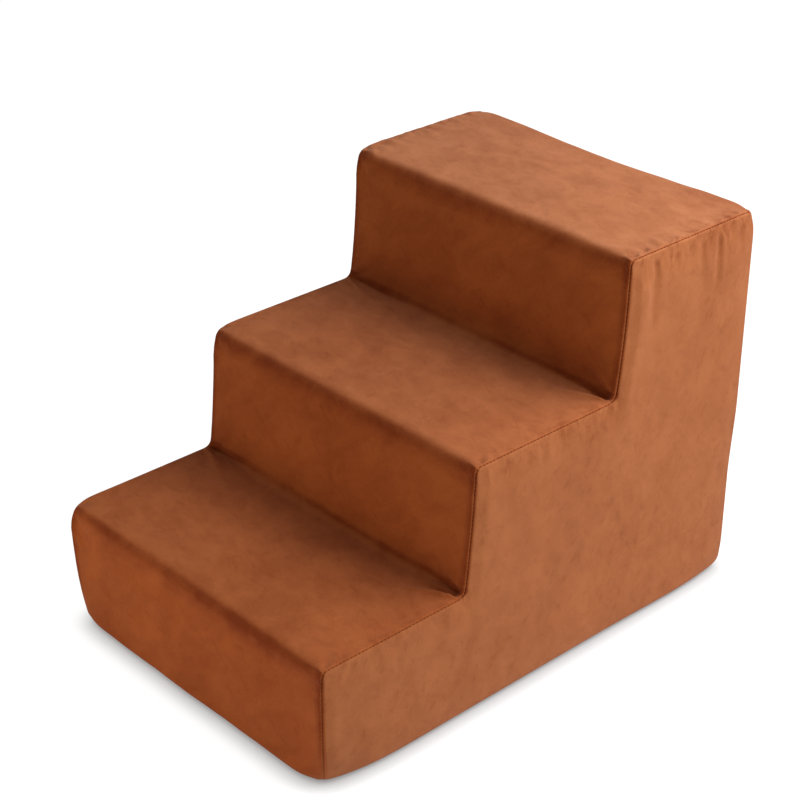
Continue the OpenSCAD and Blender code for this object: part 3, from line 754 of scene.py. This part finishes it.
def slot_threads(side, material):
    """The row of topstitching above or below the slot."""
    x = np.arange(-SLOT_END, SLOT_END, 2 * MM)
    z = ZIP_Z + side * (SLOT_HALF + TOPSTITCH) + 0 * x
    points = np.column_stack([x, BACK_Y + 0 * x, z])
    facing = np.tile(BACK, (len(x), 1))
    return thread_run(f"slot_stitches_{ROW_NAMES[side]}", points, facing,
                      TOP_STITCH, TOP_PITCH, SLOT_THREAD_LIFT, material)


# A tape's sizes, the step of its mesh, and the distances of the rows from its bead
TAPE_WIDTH, TAPE_HALF, BEAD_R, TAPE_STEP = mm(14, 0.3, 0.5, 1.4)
TAPE_ROWS = mm(
    -0.5, -0.46, -0.35, -0.2, 0, 0.2, 0.35, 0.46, 0.7, 1.2, 2, 2.8, 3.1, 3.4, 3.7, 4.2, 6, 8, 10,
    11.5, 12.4, 12.8, 13.2, 13.6, 13.85, 14)
# How much thinner its web is than its rib and its edge, and where those are
WEB_THINNER, TAPE_RIB_AT, RIB_WIDTH, TAPE_EDGE_AT = 0.18, 3.4 * MM, 0.5 * MM, 12.6 * MM
EDGE_ROUND, LEAST_SHARE, LEAST_HALF = 0.3 * MM, 0.02, 0.02 * MM
WEAVE_WAVE, WAVED_FROM = 0.03 * MM, 0.6


def zip_tape(node, side, material):
    """A woven tape: its bead, the thin web, a rib where it is sewn and a firmer edge."""
    low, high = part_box(node)
    middle_y = (low.y + high.y) / 2
    width = high.z - low.z - BEAD_R
    d = np.minimum(TAPE_ROWS, width)
    bead = np.sqrt(np.maximum(BEAD_R**2 - d**2, 0))
    firm = hill(d - TAPE_RIB_AT, RIB_WIDTH) + smooth((d - TAPE_EDGE_AT) / MM)
    web = TAPE_HALF * (1 - WEB_THINNER + WEB_THINNER * firm)
    web = web * np.sqrt(np.clip((width - d) / EDGE_ROUND, LEAST_SHARE, 1))
    half = np.where(d < 0, bead, np.maximum(bead, web))
    x = np.arange(low.x, high.x + TAPE_STEP / 2, TAPE_STEP)
    x[-1] = high.x
    z = (low.z + BEAD_R if side > 0 else high.z - BEAD_R) + side * d
    wave = WEAVE_WAVE * np.cos(math.pi * np.arange(len(x)))[:, None]
    grid = np.stack(np.broadcast_arrays(x[:, None], middle_y, z[None, :]), axis=2)
    lift = np.maximum(half + np.where(half > WAVED_FROM * TAPE_HALF, wave, 0), LEAST_HALF)
    lift = lift[:, :, None] * BACK
    return grid_sheet(f"tape_cloth_{ROW_NAMES[side]}", grid + lift, grid - lift, material, side > 0)


BASE_COLUMNS, BASE_ROWS = 69, 103
BASE_SAG, BASE_FREE = Wave(0.12, 40), 20 * MM
GRIP_R, GRIP_T, GRIP_BITE, GRIP_SINK = mm(1.7, 0.45, 0.15, 0.4)
GRIP_PITCH, GRIP_MARGIN, GRIP_SIDES = 12 * MM, 9 * MM, 10
# A grip dot's rings: share of its radius, and height over the floor
GRIP_RINGS = [
    (1, GRIP_T + GRIP_SINK), (1, GRIP_T), (0.96, 0.55 * GRIP_T), (0.75, 0.15 * GRIP_T), (0.3, 0)
]


def base_cloth(cloth, rubber):
    """The base cloth, and the rubber dots that the stairs stand on."""
    low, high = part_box("cover_base")
    x, y = np.meshgrid(np.linspace(low.x, high.x, BASE_COLUMNS),
                       np.linspace(low.y, high.y, BASE_ROWS))
    edge_d = np.minimum.reduce([x - low.x, high.x - x, y - low.y, high.y - y])
    sag = soft_noise(x, y, BASE_SAG, SEED + 9) * smooth(edge_d / BASE_FREE)
    lower, upper = (settled(np.stack([x, y, z + 0 * x], axis=2))
                    for z in (GRIP_T + GRIP_BITE + sag, high.z))
    sheet = grid_sheet("base_cloth_sheet", lower, upper, cloth)
    verts, faces = [], []
    count_x, count_y = (int((high[k] - low[k] - 2 * GRIP_MARGIN) / GRIP_PITCH) for k in (0, 1))
    for row in range(count_y + 1):
        for column in range(count_x + 1 - row % 2):
            cx = (low.x + high.x) / 2 + (column - (count_x - row % 2) / 2) * GRIP_PITCH
            cy = (low.y + high.y) / 2 + (row - count_y / 2) * GRIP_PITCH
            faces += capped(len(GRIP_RINGS), GRIP_SIDES, len(verts))
            for share, z in GRIP_RINGS:
                r = GRIP_R * share
                verts += [(cx + r * c, cy + r * s, z) for c, s in circle_of(GRIP_SIDES)]
    return sheet, make_object("base_grip_dots", verts, faces, rubber)


FOAM_VOXEL, FOAM_SHRINK, FOAM_GRAIN = 5 * MM, 1.2 * MM, Wave(0.25, 6)


def foam_slab(name, node, material):
    """A slab of foam, remeshed evenly, a little rough and clear of the cloth."""
    low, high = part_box(node)
    source = linked("foam_source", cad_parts[node].data.copy())
    remesh = source.modifiers.new("Even", "REMESH")
    remesh.mode = "VOXEL"
    remesh.voxel_size = FOAM_VOXEL
    evaluated = source.evaluated_get(bpy.context.evaluated_depsgraph_get())
    mesh = bpy.data.meshes.new_from_object(evaluated)
    bpy.data.objects.remove(source)
    points, facing = (np.array([getattr(v, of)[:] for v in mesh.vertices])
                      for of in ("co", "normal"))
    glued = np.zeros(len(points), bool)
    for level, riser_y in zip(LEVELS[:2] - CLOTH_T - CLOTH_GAP, RISER_YS[1:3]):
        near = (abs(points[:, 2] - level) < FOAM_VOXEL) & (points[:, 1] > riser_y + FOAM_VOXEL)
        glued |= near & (abs(facing[:, 2]) > 0.5)
    x, y, z = points.T
    grain = soft_noise(x + y, z - y, FOAM_GRAIN, SEED + 7)
    points -= facing * np.where(glued, 0, FOAM_SHRINK + grain)[:, None]
    points = settled(np.clip(points, np.array(low), np.array(high)))
    mesh.vertices.foreach_set("co", points.astype(np.float32).ravel())
    return finished(name, mesh, material)


def linear(*shown):
    """A colour from 0 to 255, as it shows on screen, as the shader wants it."""
    return tuple(((c / 255 + 0.055) / 1.055) ** 2.4 for c in shown) + (1,)


def darker(color, share):
    return tuple(c * share for c in color[:3]) + (1,)


EVEN, UNTURNED = (1, 1, 1), (0, 0, 0)


class Nodes:
    """Builds the nodes of a world or a material in short steps."""

    def __init__(self, owner):
        owner.use_nodes = True
        self.tree = owner.node_tree

    def node(self, kind):
        return self.tree.nodes.new("ShaderNode" + kind)

    def put(self, value, socket):
        if isinstance(value, bpy.types.NodeSocket):
            self.tree.links.new(value, socket)
        else:
            socket.default_value = value

    def fed(self, kind, *values):
        """A node with values for its first inputs."""
        made = self.node(kind)
        for value, socket in zip(values, made.inputs):
            self.put(value, socket)
        return made

    def span(self, value, low, high, to_low=0.0, to_high=1.0):
        return self.fed("MapRange", value, low, high, to_low, to_high).outputs[0]

    def math(self, kind, a, b=0.0):
        made = self.fed("Math", a, b)
        made.operation = kind
        return made.outputs[0]

    def product(self, first, *factors):
        for factor in factors:
            first = self.math("MULTIPLY", first, factor)
        return first

    def axes(self, vector):
        return self.fed("SeparateXYZ", vector).outputs

    def blend(self, share, a, b, kind="MIX"):
        made = self.node("Mix")
        made.data_type = "RGBA"
        made.blend_type = kind
        self.put(share, made.inputs[0])
        self.put(a, made.inputs[6])
        self.put(b, made.inputs[7])
        return made.outputs[2]

    def bump(self, height, distance, below=None, strength=1.0):
        made = self.node("Bump")
        made.inputs["Distance"].default_value = distance
        made.inputs["Strength"].default_value = strength
        self.put(height, made.inputs["Height"])
        if below is not None:
            self.put(below, made.inputs["Normal"])
        return made.outputs[0]


class Paint(Nodes):
    """A material, with what its finish needs."""

    def __init__(self, name, color, roughness, metallic=0.0):
        self.material = bpy.data.materials.new(name)
        super().__init__(self.material)
        self.shader = self.tree.nodes["Principled BSDF"]
        self.where = self.node("TexCoord").outputs["Object"]
        self.done(base_color=color, roughness=roughness, metallic=metallic)

    def noise(self, scale, detail, rough, stretch=EVEN, warp=0.0, turn=UNTURNED):
        """Noise from 0 to 1; scale is in patches a metre."""
        mapping = self.fed("Mapping", self.where, (0, 0, 0), turn, [1 / s for s in stretch])
        made = self.fed("TexNoise", mapping.outputs[0])
        mapping.vector_type = "TEXTURE"
        for socket, value in zip(("Scale", "Detail", "Roughness", "Distortion"),
                                 (scale, detail, rough, warp)):
            made.inputs[socket].default_value = value
        return made.outputs["Fac"]

    def patches(self, nap):
        """The noise of a nap, with its span drawn out to 0 to 1."""
        return self.span(self.noise(*nap[:-2]), nap.low, nap.high)

    def done(self, **sockets):
        for name, value in sockets.items():
            name = name.replace("_", " ").title().replace("Ior", "IOR")
            self.put(value, self.shader.inputs[name])
        return self.material


# Riser colour, deeper: painted shade
CLOTH_RISER_PAINTED_SHADE = linear(174, 90, 40)
CLOTH_BASE = linear(180, 101, 55)
# Side panels' colour, paler than the strip's: a painted sheen
CLOTH_SIDE_PAINTED_SHEEN = linear(181, 109, 65)
# Colour of upward faces higher up, paler: a painted highlight
CLOTH_TREAD_PAINTED_HIGHLIGHT = linear(190, 120, 79)
CLOTH_SHADE = (0.5, 0.34, 0.24, 1)
SHEEN = linear(255, 240, 222)

# Patches in the suede's nap: their noise, and the span of it that shows
Nap = namedtuple("Nap", "scale detail rough stretch warp turn low high")
WIDE = Nap(11, 2, 0.5, EVEN, 0.5, UNTURNED, 0.35, 0.65)
STROKES = Nap(46, 4, 0.62, (1, 1, 0.42), 0.4, (0.45, 0.75, 0.3), 0.36, 0.64)
MARKS = Nap(100, 3, 0.6, (1, 1, 0.4), 0.5, (-0.6, -0.8, 0.4), 0.54, 0.7)
FLECK = Nap(420, 2, 0.6, EVEN, 0, UNTURNED, 0.3, 0.7)
# Patches of painted shade for the puckers below the treads' seams
PUCKER_SHADE_PATCHES = Nap(78, 3, 0.6, (1, 1, 0.6), 0.8, UNTURNED, 0.47, 0.62)
GRAIN = 1300, 2, 0.6
# Depth and strength of their bumps
STROKE_BUMP, FLECK_BUMP, GRAIN_BUMP = (0.12 * MM, 0.4), (0.12 * MM, 0.4), (0.1 * MM, 0.5)
# How far treads face up and risers forward, and the heights over which the painted highlight
# grows on treads
UPWARD, FORWARD_FACING = (0.2, 0.95), (-0.3, -0.95)
PAINTED_HIGHLIGHT_HEIGHTS = 0.2, 0.4
# The painted shade in bands below a tread's level, for the puckers under its seams and under its
# nosing, and along the risers' seams: where they start and end, how far they reach down and in, and
# how dark they are
BAND_TOP, BAND_END = mm(9, 5), mm(2, -8)
PUCKER_SHADE_DROP, PUCKER_SHADE_REACH = mm(-30, -8), mm(24, 6)
NOSING_DROP, PAINTED_SEAM_REACH = mm(-25, -8), mm(10, 3)
PUCKER_SHADE_DEPTHS, PAINTED_NOSING_SHADE, PAINTED_SEAM_SHADE = (0.2, 0.3, 0.4), 0.46, 0.5
NOSING_UP, NOSING_FRONT, NOSING_CHANGE = (0.95, 0.7), (-0.2, -0.6), (0, 1, 0.7, 1.2)
BAND_ENDS = *RISER_YS[1:3], BACK_Y + 20 * MM


def suede(name, ground, stretch, amounts):
    """Short-pile suede, its nap stroked light and dark. Treads get a painted highlight, paler with
    height, and risers a deeper painted shade; patches of painted shade lie below the treads' seams,
    below nosings and beside the risers' seams."""
    p = Paint(name, ground, 0.9)
    wide = p.patches(WIDE._replace(stretch=stretch))
    strokes, marks, fleck, pucker_shade_patches = (p.patches(nap) for nap in (STROKES, MARKS, FLECK, PUCKER_SHADE_PATCHES))
    grain = p.noise(*GRAIN)
    x, y, z = p.axes(p.where)
    _, front, up = p.axes(p.node("TexCoord").outputs["Normal"])
    out, riser = p.math("ABSOLUTE", x), p.span(front, *FORWARD_FACING)
    # Painted highlight on upward faces, growing with height
    pale = p.product(p.span(up, *UPWARD), p.span(z, *PAINTED_HIGHLIGHT_HEIGHTS))
    # Painted shade: a deeper colour on forward-facing risers
    color = p.blend(riser, p.blend(pale, ground, CLOTH_TREAD_PAINTED_HIGHLIGHT), CLOTH_RISER_PAINTED_SHADE)
    # Painted shade below each tread's level: patches for its seams' puckers, and a band under its
    # nosing
    painted_pucker_shade = painted_nosing_shade = 0.0
    for level, end, most in zip(LEVELS, BAND_ENDS, PUCKER_SHADE_DEPTHS):
        here = p.product(p.span(z, *(level + BAND_TOP)), p.span(y, *(end + BAND_END)))
        side = p.product(here, p.span(z, *(level + PUCKER_SHADE_DROP), 0, most))
        painted_pucker_shade = p.math("MAXIMUM", side, painted_pucker_shade)
        nosing = p.product(here, p.span(z, *(level + NOSING_DROP), 0, PAINTED_NOSING_SHADE))
        painted_nosing_shade = p.math("MAXIMUM", nosing, painted_nosing_shade)
    # The puckers' painted shade only near the side seams, in patches
    painted_pucker_shade = p.product(painted_pucker_shade, p.span(out, *(HALF_W - PUCKER_SHADE_REACH)), pucker_shade_patches)
    # Painted shade in the valley beside the risers' seams
    painted_seam_shade = p.product(riser, p.span(out, *(HALF_W - PAINTED_SEAM_REACH), 0, PAINTED_SEAM_SHADE))
    # The nosing's painted shade only on its forward-turning part, varying with the wide patches
    painted_nosing_shade = p.product(painted_nosing_shade, p.span(up, *NOSING_UP), p.span(front, *NOSING_FRONT),
                        p.span(wide, *NOSING_CHANGE))
    naps = zip((wide, strokes, marks, fleck, grain), amounts)
    shade = 0.0
    for part in [p.product(*nap) for nap in naps] + [painted_pucker_shade, painted_seam_shade, painted_nosing_shade]:
        shade = p.math("ADD", shade, part)
    normal = None
    for nap, bump in ((strokes, STROKE_BUMP), (fleck, FLECK_BUMP), (grain, GRAIN_BUMP)):
        normal = p.bump(nap, bump[0], normal, bump[1])
    return p.done(base_color=p.blend(shade, color, CLOTH_SHADE, "MULTIPLY"), normal=normal,
                  sheen_weight=0.1, sheen_roughness=0.5, sheen_tint=SHEEN, specular_ior_level=0.08)


GRAIN_SPAN, ROUGH_CHANGE = (0.3, 0.7), 0.06


def plain(name, color, roughness, scale, depth, spread=0.25, metallic=0.0, stretch=EVEN, gloss=0.5):
    """A finish with a fine grain in its colour, roughness and surface."""
    p = Paint(name, color, roughness, metallic)
    grain = p.noise(scale, 3, 0.6, stretch)
    shade = p.blend(p.span(grain, *GRAIN_SPAN), darker(color, 1 - spread), color)
    rough = p.span(grain, *GRAIN_SPAN, roughness - ROUGH_CHANGE, roughness + ROUGH_CHANGE)
    return p.done(base_color=shade, roughness=rough, normal=p.bump(grain, depth),
                  specular_ior_level=gloss)


WEAVE_SHADE, WEAVE_SPAN = 0.55, (0.5, 1.5)
WEAVE_BUMP, FUZZ_BUMP = mm(0.15, 0.1)


def woven(name, color, pitch):
    """A plain weave of fine threads, from two crossed waves."""
    p = Paint(name, color, 0.85)
    x, y, z = p.axes(p.where)
    ways = x, p.math("ADD", y, z)
    across, up = (p.math("SINE", p.product(way, math.tau / pitch)) for way in ways)
    weave = p.span(p.product(across, up), -1, 1)
    fuzz = p.noise(900, 3, 0.6)
    light = p.span(p.math("ADD", weave, fuzz), *WEAVE_SPAN)
    shade = p.blend(light, darker(color, WEAVE_SHADE), color)
    return p.done(base_color=shade, normal=p.bump(weave, WEAVE_BUMP, p.bump(fuzz, FUZZ_BUMP)))


PORE_SCALE, PORE_SPAN, PORE_SHADE, PORE_BUMP = 700, (0.1, 0.6), 0.62, 0.4 * MM


def foam_finish(name, color):
    """Open-cell foam: small pores in a pale body."""
    p = Paint(name, color, 0.95)
    cells = p.fed("TexVoronoi", p.where)
    cells.inputs["Scale"].default_value = PORE_SCALE
    pores = p.span(cells.outputs["Distance"], *PORE_SPAN)
    shade = p.blend(pores, darker(color, PORE_SHADE), color)
    return p.done(base_color=shade, normal=p.bump(pores, PORE_BUMP))


# How much patches, strokes, marks, flecks and grain darken the strip and the sides
STRIP_NAP, SIDE_NAP = (0.24, 0.28, 0.14, 0.12, 0.09), (0.15, 0.2, 0.18, 0.11, 0.08)
strip_suede = suede("strip_suede", CLOTH_BASE, (0.75, 0.75, 0.6), STRIP_NAP)
side_suede = suede("side_suede", CLOTH_SIDE_PAINTED_SHEEN, (1, 1, 0.42), SIDE_NAP)
thread_dark = plain("thread_dark", linear(116, 55, 22), 0.9, 2500, 0.05 * MM, gloss=0.05)
tape_weave = woven("tape_weave", linear(104, 56, 36), 0.9 * MM)
base_weave = woven("base_weave", linear(58, 42, 36), 1.1 * MM)
grip_rubber = plain("grip_rubber", linear(44, 36, 34), 0.5, 800, 0.03 * MM)
foam_cream = foam_finish("foam_cream", linear(238, 226, 190))
zip_plastic = plain("zip_plastic_brown", linear(92, 50, 34), 0.38, 1200, 0.02 * MM)
zip_metal = plain("zip_metal_nickel", linear(186, 184, 180), 0.3, 900, 0.012 * MM, spread=0.12,
                  metallic=1.0, stretch=(1, 1, 5))

band_start = band_s[-1] + 2 * SLOT_HALF
band = strip("band_cloth", BAND, band_s, strip_suede, -1)
hem = strip("hem_cloth", HEM, band_start + lengths_along(HEM), strip_suede, 0)
sides = {side: side_panel(side, side_suede) for side in (1, -1)}
base, grips = base_cloth(base_weave, grip_rubber)
tapes = {side: zip_tape(f"zip_tape_{ROW_NAMES[side]}", side, tape_weave) for side in (1, -1)}
foams = {node: foam_slab(node.replace("slab", "body"), node, foam_cream)
         for node in ("foam_base_slab", "foam_middle_slab", "foam_top_slab")}
threads = [sewn(side, thread_dark) for sewn in (seam_threads, slot_threads) for side in (1, -1)]

for piece in [band, hem, base, grips, *sides.values(), *tapes.values(), *foams.values(), *threads]:
    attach(piece, "root")
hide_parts("cover_band")
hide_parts("cover_back_hem")
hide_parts("cover_side_right")
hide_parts("cover_side_left")
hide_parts("cover_base")
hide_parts("zip_tape_upper")
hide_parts("zip_tape_lower")
for node, piece in foams.items():
    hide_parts(node)

for name in ("teeth_upper", "teeth_lower", "top_stops", "bottom_stop", "slider", "pull"):
    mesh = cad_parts["zip_" + name].data
    mesh.materials.clear()
    mesh.materials.append(zip_metal if name in ("slider", "pull") else zip_plastic)

# Names of the foam pieces, and values worked out here but not kept
foam_names = [piece.name for piece in foams.values()]
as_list(threads[2:3])
lengths_along(HEM)[-1]
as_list(threads[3:])
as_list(foam_names[:1])

# The photo's camera, from a fit to the stairs' edges and seams
CAMERA_AT = (1.22525, -1.15027, 1.14315)
CAMERA_TURN = (-1.93249, -0.84733, 0.4981)
FOCAL_PIXELS, FRAME_PIXELS, SENSOR = 1966.4, 800, 36.0


def photo_camera():
    data = bpy.data.cameras.new("camera")
    camera = linked("camera", data)
    turn = Vector(CAMERA_TURN)
    right, down, ahead = Matrix.Rotation(turn.length, 3, turn.normalized()).col
    looking = Matrix((right, -down, -ahead)).transposed().to_4x4()
    camera.matrix_world = Matrix.Translation(CAMERA_AT) @ looking
    data.sensor_width = SENSOR
    data.lens = FOCAL_PIXELS / FRAME_PIXELS * SENSOR
    bpy.context.scene.camera = camera


CENTRE = Vector((0, 0, LEVELS[2] / 2))


def softbox(name, place_at, size, power, color=(1, 1, 1)):
    data = bpy.data.lights.new(name, "AREA")
    data.shape = "RECTANGLE"
    data.size, data.size_y = size
    data.energy = power
    data.color = color
    lamp = linked(name, data)
    lamp.visible_camera = False
    lamp.location = place_at
    lamp.rotation_mode = "QUATERNION"
    lamp.rotation_quaternion = (CENTRE - Vector(place_at)).to_track_quat("-Z", "Y")


def seen_directly(nodes):
    """1 for what the camera sees itself, in metal or through glass, and 0 for lighting."""
    path = nodes.node("LightPath").outputs
    seen = nodes.math("MAXIMUM", path["Is Camera Ray"], path["Is Glossy Ray"])
    return nodes.math("MAXIMUM", seen, path["Is Transmission Ray"])


SKY_LIGHT, FLOOR_SIZE, FLOOR_GAP = 0.2, 6.0, 0.2 * MM
FLOOR_GREY, FLOOR_SEEN, FLOOR_WHITE = (0.86, 0.86, 0.86, 1), (0.22, 0.22, 0.22, 1), 0.96
SHADOW_REACH, SHADOW_SPAN, SHADOW_SAMPLES = 23 * MM, (0.2, 0.94, 0.26, 1.0), 8


def white_room():
    world = bpy.data.worlds.new("world")
    bpy.context.scene.world = world
    nodes = Nodes(world)
    sky = nodes.tree.nodes["Background"].inputs
    sky["Color"].default_value = (1, 1, 1, 1)
    nodes.put(nodes.span(seen_directly(nodes), 0, 1, SKY_LIGHT, 1.0), sky["Strength"])


def white_floor():
    """A white studio table. Seen directly it glows white, dimmed near the stairs by ambient
    occlusion into a painted contact shadow, over the real shadow in its dimmer diffuse part.
    """
    bpy.ops.mesh.primitive_plane_add(size=FLOOR_SIZE, location=(0, 0, -FLOOR_GAP))
    floor = bpy.context.object
    floor.name = "floor"
    p = Paint("floor_white", FLOOR_GREY, 1.0)
    # Painted contact shadow: the glow seen directly dims where ambient occlusion finds the stairs
    near = p.node("AmbientOcclusion")
    near.inputs["Distance"].default_value = SHADOW_REACH
    near.samples = SHADOW_SAMPLES
    open_share = p.span(near.outputs["AO"], *SHADOW_SPAN)
    seen = seen_directly(p)
    p.done(specular_ior_level=0.0, base_color=p.blend(seen, FLOOR_GREY, FLOOR_SEEN))
    glow = p.node("Emission")
    p.put(p.product(open_share, FLOOR_WHITE, seen), glow.inputs["Strength"])
    both = p.fed("AddShader", p.shader.outputs[0], glow.outputs[0])
    p.put(both.outputs[0], p.tree.nodes["Material Output"].inputs["Surface"])
    floor.data.materials.append(p.material)


photo_camera()
white_room()
white_floor()
softbox("key", (0.85, 0.72, 1.38), (1.5, 1.2), 33)
softbox("fill", (-0.1, -0.95, 0.16), (0.8, 0.3), 2.3, (1, 0.9, 0.76))
bpy.context.scene.view_settings.view_transform = "Standard"
